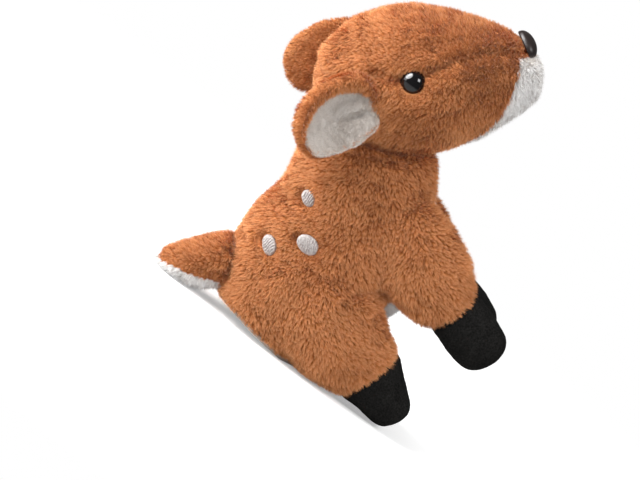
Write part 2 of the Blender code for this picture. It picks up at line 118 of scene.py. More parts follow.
# Embroidered spots: long axis as forward and up, half length and half width
STITCHING = {1: ((0.4, -0.92), 2.7, 2.0), 2: ((0.3, -0.95), 3.2, 2.2), 3: ((0.7, -0.7), 3.7, 2.7)}
SPOT_CROWN = 1.0
SPOT_SINK = 1.5
SPOT_SKIRT = 0.5
THREAD_PITCH = 0.8
THREAD_RIDGE = 0.17

# The spots lean into the pile on their upper rear side, where the pile has a small pit
SPOT_SLOPE = 0.32
PIT_TOWARD = (-0.75, 0.66)
PIT_GAP = 0.3
PIT_DEPTH = 2.8
PIT_RADIUS = 1.8

# Light of the room, and the bright window that shiny pieces mirror: right, up and back, half angle
AMBIENT = 0.48
WINDOW = (-0.40, 0.68, 0.62)
WINDOW_ANGLE = math.radians(26.0)
WINDOW_EDGE = 1.15
WINDOW_SHINE = 13.0
ROOM_SHINE = 0.15
WHITE_LIGHT = (1.0, 1.0, 1.0, 1.0)

# Lamps: direction in the picture (right, up, back), side in metres and power in watts
LAMPS = [("top_lamp", (-0.4, 0.84, 0.36), 0.8, 10.2), ("left_lamp", (-0.75, 0.4, 0.55), 0.45, 2.6),
         ("key_lamp", (-0.3, 0.78, 0.55), 0.34, 3.0), ("right_lamp", (0.8, 0.05, 0.6), 0.28, 2.8)]
LAMP_DISTANCE = 0.8
LAMP_AIM = (30.0, 60.0)

# Floor, in metres: half its side, how far it stays below the hem, and where it fades out
FLOOR_REACH = 0.32
FLOOR_GAP = 0.0001
FLOOR_FADE = (0.12, 0.30)

# Floor's colour to the camera and to other rays, and its glow to the camera
FLOOR_SEEN = (0.9, 0.9, 0.9)
FLOOR_BOUNCE = (0.65, 0.65, 0.65)
FLOOR_GLOW = 0.35


def at(forward, up, side=0.0):
    """A point of the worn fawn, in metres, in the sitting pose."""
    return Vector(SIT @ (forward, side, up) + SEAT) * MM


def heading(forward, up):
    """A step of the worn fawn, in metres, in the sitting pose."""
    return at(forward, up) - at(0.0, 0.0)


def drawn(points):
    """World points in metres as forward, side and up of the worn fawn, in millimetres."""
    return (points / MM - SEAT) @ SIT


def turned(vectors):
    """Directions of the worn fawn (forward, side, up) as world directions."""
    return vectors @ SIT.T


def unit(vectors):
    return vectors / np.maximum(np.linalg.norm(vectors, axis=1, keepdims=True), 1e-12)


def smoothstep(low, high, value):
    t = np.clip((value - low) / (high - low), 0.0, 1.0)
    return t * t * (3.0 - 2.0 * t)


def bell(value, width):
    return np.exp(-(value / width) ** 2)


def distance(points, centre):
    """How far world points are from one place, in millimetres."""
    return np.linalg.norm(points - np.array(centre), axis=1) / MM


def waves(points, scale, seed, count=7):
    """Smooth noise between about -1 and 1, from a few sine waves of one length scale in mm."""
    rng = np.random.default_rng(seed)
    total = np.zeros(len(points))
    for _ in range(count):
        direction = rng.normal(size=3)
        direction *= rng.uniform(0.7, 1.5) / (np.linalg.norm(direction) * scale * MM)
        total += np.sin(points @ direction * math.tau / 2.0 + rng.uniform(0.0, math.tau))
    return total / math.sqrt(count)


# Materials

class Graph:
    """Short calls for building the node tree of a material or a world."""

    def __init__(self, owner):
        owner.use_nodes = True
        self.tree = owner.node_tree

    def add(self, kind, **values):
        """A new node. Each value is a setting of the node, or else one of its inputs."""
        node = self.tree.nodes.new(kind)
        for key, value in values.items():
            if hasattr(node, key):
                setattr(node, key, value)
            else:
                node.inputs[key.replace("_", " ")].default_value = value
        return node

    def link(self, source, target):
        self.tree.links.new(source, target)

    def places(self, kind="Object"):
        return self.add("ShaderNodeTexCoord").outputs[kind]

    def choose(self, factor, first, second):
        """The first shader where the factor is zero, and the second where it is one."""
        node = self.add("ShaderNodeMixShader")
        self.link(factor, node.inputs[0])
        self.link(first.outputs[0], node.inputs[1])
        self.link(second.outputs[0], node.inputs[2])
        return node


class Nodes(Graph):
    """Short calls for building one surface material."""

    def __init__(self, name):
        self.material = bpy.data.materials.new(name)
        super().__init__(self.material)
        self.shader = self.tree.nodes["Principled BSDF"]

    def set(self, **values):
        for key, value in values.items():
            self.shader.inputs[key.replace("_", " ")].default_value = value

    def colour(self, source):
        self.link(source, self.shader.inputs["Base Color"])

    def ramp(self, factor, stops):
        node = self.add("ShaderNodeValToRGB")
        ramp = node.color_ramp
        while len(ramp.elements) < len(stops):
            ramp.elements.new(0.5)
        for element, (place, colour) in zip(ramp.elements, stops):
            element.position = place
            element.color = (*colour, 1.0)
        self.link(factor, node.inputs["Fac"])
        return node.outputs["Color"]

    def noise(self, scale, detail=3.0):
        node = self.add("ShaderNodeTexNoise", Scale=scale, Detail=detail, Roughness=0.6)
        self.link(self.places(), node.inputs["Vector"])
        return node.outputs["Fac"]

    def mix(self, factor, first, second, blend="MIX"):
        """Two colours or sockets mixed by a number or a socket."""
        node = self.add("ShaderNodeMix", data_type="RGBA", blend_type=blend)
        for socket, value in ((node.inputs[0], factor), (node.inputs[6], first),
                              (node.inputs[7], second)):
            if hasattr(value, "links"):
                self.link(value, socket)
            elif socket == node.inputs[0]:
                socket.default_value = value
            else:
                socket.default_value = (*value, 1.0)
        return node.outputs[2]

    def bump(self, height, distance):
        node = self.add("ShaderNodeBump", Distance=distance)
        self.link(height, node.inputs["Height"])
        self.link(node.outputs["Normal"], self.shader.inputs["Normal"])


def pile_material(name, root, middle, tip, tint=0.22):
    """Pile: dark roots, lighter tips whose palest end is partly painted glow, and a different tint on
    each strand, all from the pile's UVs.
    """
    nodes = Nodes(name)
    uv = nodes.add("ShaderNodeUVMap", uv_map=UV_NAME)
    split = nodes.add("ShaderNodeSeparateXYZ")
    nodes.link(uv.outputs["UV"], split.inputs["Vector"])
    # The palest end of each strand is partly the pile's own pale tip and partly painted glow, standing
    # in for light through the fibre tips at the edges
    pale = tuple(c + 0.12 * (1.0 - c) for c in tip)
    along = nodes.ramp(split.outputs["Y"], [(0.0, root), (0.5, middle), (0.85, tip), (1.0, pale)])
    dim = (1.0 - tint,) * 3
    shade = nodes.ramp(split.outputs["X"], [(0.0, dim), (1.0, (1.0, 1.0, 1.0))])
    nodes.colour(nodes.mix(1.0, along, shade, "MULTIPLY"))
    nodes.set(Roughness=0.9, Specular_IOR_Level=0.04, Sheen_Weight=0.3, Sheen_Roughness=0.4,
              Sheen_Tint=(1.0, 0.8, 0.62, 1.0))
    return nodes.material


def grain_material(name, dark, light, scale=900.0, detail=3.0, high=0.7, depth=0.0004,
                   roughness=0.95, gloss=0.02, sheen=0.0):
    """A fine raised grain in two colours: the ground under a pile, filling or thread."""
    nodes = Nodes(name)
    grain = nodes.noise(scale, detail)
    nodes.colour(nodes.ramp(grain, [(0.3, dark), (high, light)]))
    nodes.set(Roughness=roughness, Specular_IOR_Level=gloss, Sheen_Weight=sheen)
    nodes.bump(grain, depth)
    return nodes.material


def weave_material(name, dark, light, pitch):
    """Plain woven cloth: two crossed bands of threads at a pitch in mm, with a little noise."""
    nodes = Nodes(name)
    places = nodes.places()
    bands = []
    for direction in ("X", "Z"):
        wave = nodes.add("ShaderNodeTexWave", bands_direction=direction,
                         Scale=1.0 / (pitch * MM) / 20.0 * math.tau, Distortion=0.4)
        nodes.link(places, wave.inputs["Vector"])
        bands.append(wave.outputs["Fac"])
    crossed = nodes.mix(0.5, bands[0], bands[1])
    height = nodes.mix(0.35, crossed, nodes.noise(600.0))
    nodes.colour(nodes.ramp(height, [(0.2, dark), (0.8, light)]))
    nodes.set(Roughness=0.85, Specular_IOR_Level=0.2)
    nodes.bump(height, 0.00015)
    return nodes.material


def velour_material(name, dark, light):
    """Short black velour: a fine grain, with broad patches where the nap lies darker."""
    nodes = Nodes(name)
    grain = nodes.noise(1800.0, 2.0)
    fine = nodes.ramp(grain, [(0.3, dark), (0.75, light)])
    soft = nodes.ramp(nodes.noise(160.0), [(0.3, (0.6, 0.6, 0.6)), (0.7, (1.0, 1.0, 1.0))])
    nodes.colour(nodes.mix(1.0, fine, soft, "MULTIPLY"))
    nodes.set(Roughness=0.95, Specular_IOR_Level=0.03)
    nodes.bump(grain, 0.00025)
    return nodes.material


def plastic_material(name, colour, roughness, wear, gloss=0.35):
    """Moulded plastic whose roughness varies by the wear, to either side."""
    nodes = Nodes(name)
    grain = nodes.noise(420.0, 4.0)
    nodes.colour(nodes.ramp(grain, [(0.3, [c * 0.8 for c in colour]), (0.7, colour)]))
    rough = nodes.add("ShaderNodeMapRange", To_Min=roughness - wear, To_Max=roughness + wear)
    nodes.link(grain, rough.inputs["Value"])
    nodes.link(rough.outputs["Result"], nodes.shader.inputs["Roughness"])
    nodes.set(Specular_IOR_Level=gloss)
    return nodes.material


BROWN_PILE = pile_material("brown_pile", (0.34, 0.105, 0.030), (0.66, 0.243, 0.082),
                           (0.80, 0.370, 0.160))
WHITE_PILE = pile_material("white_pile", (0.90, 0.87, 0.85), (0.95, 0.935, 0.92),
                           (0.97, 0.96, 0.95), 0.04)
NAP = pile_material("ear_nap", (0.58, 0.53, 0.49), (0.80, 0.75, 0.70), (0.90, 0.86, 0.82), 0.08)
BROWN_SKIN = grain_material("brown_ground", (0.46, 0.175, 0.065), (0.62, 0.26, 0.105))
WHITE_SKIN = grain_material("white_ground", (0.84, 0.81, 0.78), (0.93, 0.91, 0.89))
EAR_SKIN = grain_material("ear_ground", (0.58, 0.53, 0.49), (0.76, 0.71, 0.67))
FIBRE = grain_material("fibre_fill", (0.70, 0.70, 0.68), (0.85, 0.85, 0.83))
VELOUR = velour_material("black_velour_nap", (0.006, 0.006, 0.0055), (0.022, 0.021, 0.02))
LINING = weave_material("lining_weave", (0.36, 0.31, 0.27), (0.62, 0.57, 0.52), 0.45)
THREAD = grain_material("satin_thread", (0.28, 0.245, 0.235), (0.475, 0.44, 0.425), scale=1500.0,
                        detail=2.0, high=0.65, depth=0.0001, roughness=0.55, gloss=0.4, sheen=0.2)
EYE_GLOSS = plastic_material("eye_gloss", (0.004, 0.0035, 0.004), 0.04, 0.01, 0.5)
NOSE_SATIN = plastic_material("nose_satin", (0.020, 0.014, 0.013), 0.34, 0.10)
CLIP = plastic_material("clip_white", (0.75, 0.75, 0.72), 0.5, 0.1)

# Cloths: ground, pile and the record's material slot
BROWN = (BROWN_SKIN, BROWN_PILE, "brown_plush")
WHITE = (WHITE_SKIN, WHITE_PILE, "white_plush")
BLACK = (VELOUR, None, "black_velour")
EAR_WHITE = (EAR_SKIN, NAP, "ear_velboa")


# Mesh helpers

def new_object(name, data, look=None):
    made = bpy.data.objects.new(name, data)
    bpy.context.scene.collection.objects.link(made)
    if look is not None:
        data.materials.clear()
        data.materials.append(look)
    return made


def dress(piece, node=None):
    """Puts a finished piece on the puppet's one body, in a CAD node's place."""
    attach(piece, "root")
    if node:
        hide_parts(node)


def dress_padded(piece, node):
    dress(piece, node)


def mesh_from(name, vertices, faces):
    mesh = bpy.data.meshes.new(name)
    mesh.from_pydata([tuple(v) for v in vertices], [], [tuple(f) for f in faces])
    mesh.update()
    return mesh


def baked(obj):
    """The object's evaluated mesh, as a new mesh with no modifiers left."""
    bpy.context.view_layer.update()
    graph = bpy.context.evaluated_depsgraph_get()
    return bpy.data.meshes.new_from_object(obj.evaluated_get(graph))


def co_of(mesh):
    co = np.zeros(len(mesh.vertices) * 3)
    mesh.vertices.foreach_get("co", co)
    return co.reshape(-1, 3)


def normals_of(mesh):
    values = np.zeros(len(mesh.vertices) * 3)
    mesh.vertex_normals.foreach_get("vector", values)
    return values.reshape(-1, 3)


def set_co(mesh, co):
    mesh.vertices.foreach_set("co", np.ascontiguousarray(co, dtype=np.float32).ravel())
    mesh.update()


def lift(mesh, height):
    """Moves vertices along their normals by a height in mm, or by one for each."""
    set_co(mesh, co_of(mesh) + normals_of(mesh) * np.reshape(height * MM, (-1, 1)))


def bmesh_of(*meshes):
    work = bmesh.new()
    for mesh in meshes:
        work.from_mesh(mesh)
    return work


def written(work, mesh):
    """The mesh, with what a BMesh holds written into it."""
    work.to_mesh(mesh)
    work.free()
    return mesh


def surface_tree(mesh):
    return BVHTree.FromPolygons([v.co for v in mesh.vertices],
                                [f.vertices[:] for f in mesh.polygons])


def hull_of(names):
    """The convex hull round some CAD nodes."""
    work = bmesh_of(*(NODES[name].data for name in names))
    result = bmesh.ops.convex_hull(work, input=work.verts)
    spare = set(result["geom_interior"]) | set(result["geom_unused"])
    bmesh.ops.delete(work, geom=[g for g in spare if isinstance(g, bmesh.types.BMVert)],
                     context="VERTS")
    loose = [v for v in work.verts if not v.link_faces]
    bmesh.ops.delete(work, geom=loose, context="VERTS")
    return written(work, bpy.data.meshes.new("hull"))


def soft_form(mesh, grow, smooth):
    """A smooth closed form: voxel remesh, smoothing, then grown along its normals."""
    work = new_object("form", mesh)
    remesh = work.modifiers.new("remesh", "REMESH")
    remesh.mode = "VOXEL"
    remesh.voxel_size = VOXEL * MM
    relax = work.modifiers.new("relax", "SMOOTH")
    relax.iterations = smooth
    result = baked(work)
    bpy.data.objects.remove(work)
    lift(result, grow)
    return result


def ring_faces(rings, sides):
    """Faces between closed rings of points, from each ring to the next."""
    faces = []
    for ring in range(rings - 1):
        a, b = ring * sides, (ring + 1) * sides
        for k in range(sides):
            n = (k + 1) % sides
            faces.append([a + k, a + n, b + n, b + k])
    return faces


def closed_form(name, vertices, faces, look):
    """A smooth closed piece, with its poles welded and its faces turned outwards."""
    mesh = mesh_from(name, vertices, faces)
    work = bmesh_of(mesh)
    bmesh.ops.remove_doubles(work, verts=work.verts, dist=WELD)
    bmesh.ops.recalc_face_normals(work, faces=work.faces)
    written(work, mesh).shade_smooth()
    return new_object(name, mesh, look)


def cut_out(name, mesh, chosen):
    """A new mesh of only the chosen faces."""
    kept = [face.vertices[:] for face, stays in zip(mesh.polygons, chosen) if stays]
    used = sorted({v for face in kept for v in face})
    index = {v: i for i, v in enumerate(used)}
    return mesh_from(name, co_of(mesh)[used], [[index[v] for v in face] for face in kept])


# Panels and seams

def labels_of(mesh, names, reach):
    """For each face, the index of the nearest CAD panel, or -1 where none lies within reach."""
    trees = [surface_tree(NODES[name].data) for name in names]
    gaps = np.array([[tree.find_nearest(face.center)[3] for tree in trees]
                     for face in mesh.polygons])
    return np.where(gaps.min(axis=1) < reach * MM, gaps.argmin(axis=1), -1)


def vertex_labels(mesh, labels):
    """The label of each vertex, taken from a face that it belongs to."""
    found = np.full(len(mesh.vertices), -1)
    for face, label in zip(mesh.polygons, labels):
        found[list(face.vertices)] = label
    return found


def tree_through(points):
    tree = KDTree(len(points))
    for index, point in enumerate(points):
        tree.insert(point, index)
    tree.balance()
    return tree


def seam_tree(mesh, labels, wanted=None):
    """The places where two panels meet, or where panels of two wanted labels do."""
    touching = [set() for _ in mesh.vertices]
    for face, label in zip(mesh.polygons, labels):
        for vertex in face.vertices:
            touching[vertex].add(int(label))
    seam = [i for i, found in enumerate(touching) if len(found) > 1 and -1 not in found
            and (wanted is None or any(set(pair) <= found for pair in wanted))]
    return tree_through([mesh.vertices[i].co for i in seam])


def away_from(tree, points):
    """How far each point is from the nearest one of a tree, in millimetres."""
    return np.array([tree.find(point)[2] for point in points]) / MM


def groove(mesh, labels, depth, width):
    """Sinks the cloth along every line where two panels meet."""
    away = away_from(seam_tree(mesh, labels), co_of(mesh))
    lift(mesh, -depth * bell(away, width))


def crease(co, start, end, width):
    """How near each place is to a line on either side of the fawn, from 0 to 1."""
    flat = drawn(co)
    line = np.array(end) - np.array(start)
    away = flat[:, [0, 2]] - np.array(start)
    share = np.clip(away @ line / (line @ line), 0.0, 1.0)
    return bell(np.linalg.norm(away - share[:, None] * line, axis=1), width)


def sew(node, form, chosen, cloth):
    """The padded cloth of one panel, cut from a soft form. Gives back its bare surface."""
    ground, _, slot = cloth
    name = f"{node}_cloth"
    made = cut_out(name, form, chosen)
    surface = made.copy()
    skin = new_object(name, made)
    thick = skin.modifiers.new("cloth", "SOLIDIFY")
    thick.thickness = CLOTH * MM
    thick.offset = -1.0
    result = baked(skin)
    skin.modifiers.clear()
    skin.data = result
    result.materials.clear()
    result.materials.append(ground)
    result.shade_smooth()
    dress_padded(skin, node)
    return surface


def stuff(form, node):
    """The filling, drawn in just under the cloth."""
    mesh = form.copy()
    lift(mesh, -STUFFING_INSET)
    mesh.shade_smooth()
    dress(new_object(f"{node}_fill", mesh, FIBRE), node)


# Pile

# Brush strokes: place as forward and up, and direction as forward and up
BRUSH = {
    "body": [
        (2, 55, -0.9, -0.5), (-10, 42, -0.9, -0.4), (20, 50, -0.6, -0.8),
        (42, 50, 0.1, -1), (10, 35, -0.8, -0.6), (30, 38, -0.1, -1),
        (50, 30, 0.5, -0.8), (45, 15, 0.55, -0.8), (-15, 25, -0.5, -0.8),
        (5, 15, 0.1, -1), (20, 5, 0.5, -0.85), (22, -5, 0.6, -0.8),
        (-10, 12, 0.3, -0.9),
    ],
    "head": [
        (70, 94, -1, 0.25), (50, 104, -1, 0.1), (30, 105, -1, -0.1),
        (14, 95, -0.8, -0.6), (10, 80, -0.5, -0.9), (35, 80, -0.9, -0.35),
        (55, 80, -0.85, -0.5), (60, 70, -0.7, -0.7), (40, 62, -0.9, -0.3),
        (75, 84, -0.2, -1), (68, 72, -0.6, -0.8),
    ],
    "tail": [(-20, 30, -1, 0), (-36, 28, -1, -0.05)],
}


def brushing(part):
    """A function for the direction that a part's pile is brushed in, blended between strokes."""
    def brush(points):
        flat = drawn(points)
        total = np.zeros((len(points), 3))
        for forward, up, run, rise in BRUSH[part]:
            near = (flat[:, 0] - forward) ** 2 + (flat[:, 2] - up) ** 2 + 9.0
            total += np.array([run, 0.0, rise]) / near[:, None] ** 1.5
        return unit(turned(total))

    return brush


def sampled(surface, density, rng):
    """Points spread evenly over a surface, with the surface's smooth normals there."""
    surface.calc_loop_triangles()
    corners = np.zeros(len(surface.loop_triangles) * 3, dtype=np.int64)
    surface.loop_triangles.foreach_get("vertices", corners)
    corners = corners.reshape(-1, 3)
    co = co_of(surface)
    normal = normals_of(surface)
    a, b, c = (co[corners[:, k]] for k in range(3))
    area = 0.5 * np.linalg.norm(np.cross(b - a, c - a), axis=1)
    count = min(int(area.sum() / MM ** 2 * density), MAX_STRANDS)
    picked = rng.choice(len(corners), count, p=area / area.sum())
    r = np.sqrt(rng.random(count))[:, None]
    s = rng.random(count)[:, None]
    weights = (1.0 - r, r * (1.0 - s), r * s)
    point = sum(w * co[corners[picked, k]] for k, w in enumerate(weights))
    out = sum(w * normal[corners[picked, k]] for k, w in enumerate(weights))
    return point, unit(out)


def blades(name, base, tip, side, width, tints, out, crisp, look):
    """Strands as tapering blades, with a palette UV: tint across, root to tip up."""
    count = len(base)
    ahead = np.sum(np.cross(side, tip - base) * out, axis=1)
    side = side * np.where(ahead < 0.0, -1.0, 1.0)[:, None]
    half = side * (0.5 * width * MM)[:, None]
    vertices = np.stack([base - half, base + half, tip], axis=1).reshape(-1, 3)
    mesh = bpy.data.meshes.new(name)
    mesh.vertices.add(count * 3)
    mesh.vertices.foreach_set("co", vertices.astype(np.float32).ravel())
    mesh.loops.add(count * 3)
    mesh.loops.foreach_set("vertex_index", np.arange(count * 3, dtype=np.int32))
    mesh.polygons.add(count)
    mesh.polygons.foreach_set("loop_start", np.arange(0, count * 3, 3, dtype=np.int32))
    mesh.update(calc_edges=True)

    # Blades that stand square to the cloth keep their own normal, and flat ones lean to the cloth's
    facing = unit(np.cross(side, tip - base))
    upright = 1.0 - np.clip(np.sum(facing * out, axis=1), 0.0, 1.0)[:, None]
    share = crisp + (1.0 - crisp) * upright ** 2
    soft = unit(out * (1.0 - share) + facing * share)
    mesh.normals_split_custom_set_from_vertices(np.repeat(soft, 3, axis=0))

    layer = mesh.uv_layers.new(name=UV_NAME)
    left = 0.02 + tints * 0.94
    u = np.stack([left, left + 0.02, left + 0.01], axis=1)
    v = np.tile([0.02, 0.02, 0.98], (count, 1))
    layer.data.foreach_set("uv", np.stack([u, v], axis=2).astype(np.float32).ravel())
    return new_object(name, mesh, look)


def pile(name, surface, cloth, brush, seed, density, length, lean=0.65, clump=0.9, pull=0.6,
         trim=None, width=STRAND_WIDTH, wander=1.0, crisp=CRISP):
    """A brushed, slightly tufted pile on one panel.

    density is in strands per square mm and lean in radians from upright. length, width and clump,
    the size of a tuft, are in mm. pull is how far the tips of a tuft gather.
    """
    _, look, slot = cloth
    rng = np.random.default_rng(seed)
    point, out = sampled(surface, density, rng)
    cut = np.ones(len(point)) if trim is None else trim(point)
    stays = cut > 0.08
    point, out, cut = point[stays], out[stays], cut[stays]
    count = len(point)

    # Direction, with soft swirls
    flow = brush(point)
    flow = unit(flow - out * np.sum(flow * out, axis=1)[:, None])
    turn = 0.35 * waves(point, 9.0, seed) + 0.3 * waves(point, 2.0, seed + 1)
    turn = wander * (turn + rng.normal(0.0, 0.22, count))
    across = np.cross(out, flow)
    flow = flow * np.cos(turn)[:, None] + across * np.sin(turn)[:, None]

    # Tips, with some filler strands that stand up
    size = (length * cut * rng.uniform(0.7, 1.15, count) * MM)[:, None]
    tilt = lean + 0.1 * waves(point, 1.6, seed + 2) + rng.normal(0.0, 0.12, count)
    filler = rng.random(count) < 0.15
    tilt = np.clip(np.where(filler, tilt * 0.45, tilt), 0.05, 1.25)[:, None]
    tip = point + (out * np.cos(tilt) + flow * np.sin(tilt)) * size

    # Tufts: tips gather towards the tip of the nearest chosen strand
    chosen = rng.choice(count, max(int(count / (density * clump * clump)), 1), replace=False)
    tree = tree_through(point[chosen])
    owner = chosen[np.array([tree.find(p)[1] for p in point])]
    gather = np.where(filler, 0.0, pull * rng.uniform(0.4, 1.0, count))[:, None]
    tip = tip + (tip[owner] - tip) * gather

    root = point - out * 0.25 * MM
    side = unit(np.cross(tip - root, out))
    roll = rng.normal(0.0, 0.5, count)[:, None]
    side = side * np.cos(roll) + unit(np.cross(side, tip - root)) * np.sin(roll)
    tip[:, 2] = np.maximum(tip[:, 2], PILE_FLOOR)
    root[:, 2] = np.maximum(root[:, 2], PILE_FLOOR)
    tints = np.clip(0.6 + 0.1 * waves(point, 9.0, seed + 3) + rng.normal(0.0, 0.14, count)
                    + 0.25 * (rng.random(count)[owner] - 0.5), 0.0, 1.0)
    widths = width * rng.uniform(0.7, 1.2, count)
    dress(blades(name, root, tip, unit(side), widths, tints, out, crisp, look))


# Places on the face and the sides that the pile keeps clear of

def eye_hit(tree, side):
    """Where an eye's axis meets the head, and the outward normal there."""
    inwards = Vector((0.0, -side, 0.0))
    spot, normal, _, _ = tree.ray_cast(at(*EYE, side * 60.0), inwards)
    return spot, normal if normal.dot(inwards) < 0.0 else -normal


def stitching(node, kind):
    """Centre, axes (long, short, out), half length, half width and pit of an embroidered spot."""
    co = co_of(NODES[node].data)
    centre = (co.min(axis=0) + co.max(axis=0)) / 2.0
    out = Vector(np.linalg.svd(co - co.mean(axis=0), full_matrices=False)[2][2])
    out = out if out.y * centre[1] > 0.0 else -out
    (forward, up), long, short = STITCHING[kind]
    run = heading(forward, up)
    run = (run - out * run.dot(out)).normalized()
    pit = heading(*PIT_TOWARD)
    pit = (pit - out * pit.dot(out)).normalized()
    reach = math.hypot(long * pit.dot(run), short * pit.dot(run.cross(out))) + PIT_GAP
    axes = np.array([run, run.cross(out), out])
    return centre, axes, long, short, centre + np.array(pit) * reach * MM


HEAD_NODES = ["head_side_right", "head_side_left", "head_gusset", "muzzle_panel"]
RIGHT, LEFT, GUSSET, MUZZLE = range(4)
HEAD_HULL = hull_of(HEAD_NODES)
EYES = {hand: eye_hit(surface_tree(HEAD_HULL), side) for side, hand in SIDES}
SPOTS = {f"spot_{hand}_{k}": stitching(f"spot_{hand}_{k}", k) for _, hand in SIDES
         for k in STITCHING}


def face_trim(points):
    """Shorter pile round the eyes and the nose, and none under them."""
    keep = np.ones(len(points))
    for spot, _ in EYES.values():
        away = distance(points, spot)
        keep *= np.where(away < EYE_RADIUS + 0.5, 0.0, 0.35 + 0.65 * smoothstep(3.0, 7.5, away))
    away = distance(points, at(*NOSE))
    return keep * np.where(away < 3.6, 0.0, 0.4 + 0.6 * smoothstep(3.6, 8.0, away))


def body_trim(points):
    """Shorter pile round the embroidered spots, and none under them."""
    keep = np.ones(len(points))
    for centre, axes, long, short, pit in SPOTS.values():
        away = points - centre - np.array(heading(0.4, -0.4))
        run = np.abs(away @ axes[0]) / MM
        rise = np.abs(away @ axes[1]) / MM
        share = np.sqrt((run / long) ** 2 + (rise / short) ** 2)
        near = np.linalg.norm(away, axis=1) / MM < 9.0
        cut = np.where(share < 0.72, 0.0, 0.5 + 0.5 * smoothstep(0.8, 1.8, share))
        keep *= np.where(near, cut, 1.0)
        keep *= 0.2 + 0.8 * smoothstep(2.6, 3.8, distance(points, pit))
    return keep


# Body

BODY_SIDES = ["body_side_right", "body_side_left"]
BELLY = ["belly_panel"]
HOOVES = ["hoof_front_right", "hoof_front_left", "hoof_rear_right", "hoof_rear_left"]


def body_swell(co):
    """How far the body's cloth swells, in mm: waves, less beds, pits, folds and hollows."""
    swell = 0.35 * waves(co, 14.0, 3) + 0.2 * waves(co, 6.0, 4)
    for centre, _, _, _, pit in SPOTS.values():
        swell -= bell(distance(co, centre), 3.6)
        swell -= PIT_DEPTH * bell(distance(co, pit), PIT_RADIUS)
    outer = smoothstep(9.0, 13.0, np.abs(co[:, 1] / MM))
    for start, end, depth, width in FOLDS:
        swell -= depth * crease(co, start, end, width) * outer
    flat = drawn(co)[:, [0, 2]]
    for place, radius, depth in HOLLOWS:
        swell -= depth * bell(np.linalg.norm(flat - np.array(place), axis=1), radius)
    return swell


def build_body():
    names = BODY_SIDES + BELLY + HOOVES
    form = soft_form(NODES["body_stuffing"].data.copy(), BODY_GROW, 10)
    labels = labels_of(form, names + ["finger_pocket"], 2.4)
    groove(form, labels, *BODY_SEAM)
    co = co_of(form)
    out = normals_of(form)
    co = co + out * (body_swell(co) * MM)[:, None]
    owner = vertex_labels(form, labels)
    hoof = np.flatnonzero((owner >= len(BODY_SIDES + BELLY)) & (owner < len(names)))
    grown = HOOF_GROW * smoothstep(0.0, 1.5, away_from(seam_tree(form, labels), co[hoof]))
    co[hoof] += out[hoof] * (grown * MM)[:, None]
    co[:, 2] = np.maximum(co[:, 2], CLOTH_FLOOR)
    set_co(form, co)
    stuff(form, "body_stuffing")
    for index, name in enumerate(names):
        cloth = BROWN if name in BODY_SIDES else WHITE if name in BELLY else BLACK
        surface = sew(name, form, labels == index, cloth)
        if cloth is not BLACK:
            density, length, trim = (26.0, 2.3, body_trim) if cloth is BROWN else (12.0, 2.2, None)
            pile(f"{name}_pile", surface, cloth, brushing("body"), 20 + index, density, length,
                 trim=trim)


# Head

def head_swell(form, labels):
    """How far the head's cloth swells, in mm: waves and brow, less seams, crown and sockets."""
    co = co_of(form)
    away = away_from(seam_tree(form, labels, [(RIGHT, GUSSET), (LEFT, GUSSET)]), co)
    top = np.where(vertex_labels(form, labels) == GUSSET, 1.0, 0.0)
    front = 0.45 + 0.55 * bell(drawn(co)[:, 0] - EYE[0], 16.0)
    swell = 0.25 * waves(co, 12.0, 5)
    swell -= front * (1.0 - top) * SEAM_STEP * bell(away, STEP_WIDTH)
    swell -= CREASE_DEPTH * front * bell(away, CREASE_WIDTH)
    swell -= CROWN_DROP * top * smoothstep(0.0, 4.0, away)
    swell += front * top * BROW_SWELL * bell(away - 2.2, 1.6)
    for spot, _ in EYES.values():
        swell -= SOCKET_DEPTH * bell(distance(co, spot), SOCKET_RADIUS)
    return swell


def build_head():
    """The head's cloth and pile. Gives back a tree of its surface, to seat the eyes and nose."""
    form = soft_form(HEAD_HULL, HEAD_GROW, 8)
    labels = labels_of(form, HEAD_NODES, 4.0)
    middle = drawn(np.array([face.center[:] for face in form.polygons]))
    seam_up = np.interp(middle[:, 0], *np.array(SNOUT_SEAM).T)
    snout = (middle[:, 0] > SNOUT_SEAM[0][0]) & (middle[:, 2] > seam_up)
    labels[snout & np.isin(labels, (RIGHT, LEFT))] = GUSSET
    groove(form, labels, *HEAD_SEAM)
    lift(form, head_swell(form, labels))
    stuff(form, "head_stuffing")
    for index, name in enumerate(HEAD_NODES):
        cloth, length, crisp = (WHITE, 2.0, 0.3) if index == MUZZLE else (BROWN, 1.9, CRISP)
        surface = sew(name, form, labels == index, cloth)
        pile(f"{name}_pile", surface, cloth, brushing("head"), 40 + index, density=28.0,
             length=length, lean=0.8, clump=0.85, pull=0.65, trim=face_trim, crisp=crisp)
    return surface_tree(form)


# Tail

def build_tail():
    form = soft_form(NODES["tail_stuffing"].data.copy(), TAIL_GROW, 4)
    tops = {"tail_top": BROWN, "tail_underside": WHITE}
    labels = labels_of(form, list(tops), 2.4)
    co = co_of(form)
    co[:, 2] = np.maximum(co[:, 2], CLOTH_FLOOR)
    set_co(form, co)
    stuff(form, "tail_stuffing")
    seam = seam_tree(form, labels)

    def seam_trim(points):
        return 0.45 + 0.55 * smoothstep(0.5, 4.0, away_from(seam, points))

    for index, (name, cloth) in enumerate(tops.items()):
        surface = sew(name, form, labels == index, cloth)
        pile(f"{name}_pile", surface, cloth, brushing("tail"), 60 + index, density=28.0,
             length=2.3, trim=seam_trim if cloth is BROWN else None)


# Ears

# Middle of the ear's base and its tip: forward, up and side
EAR_ENDS = {"right": ((25.5, 80.5, 17.5), (-1.5, 75.5, 24.0)),
            "left": ((28.0, 83.8, 19.2), (2.4, 84.3, 22.5))}

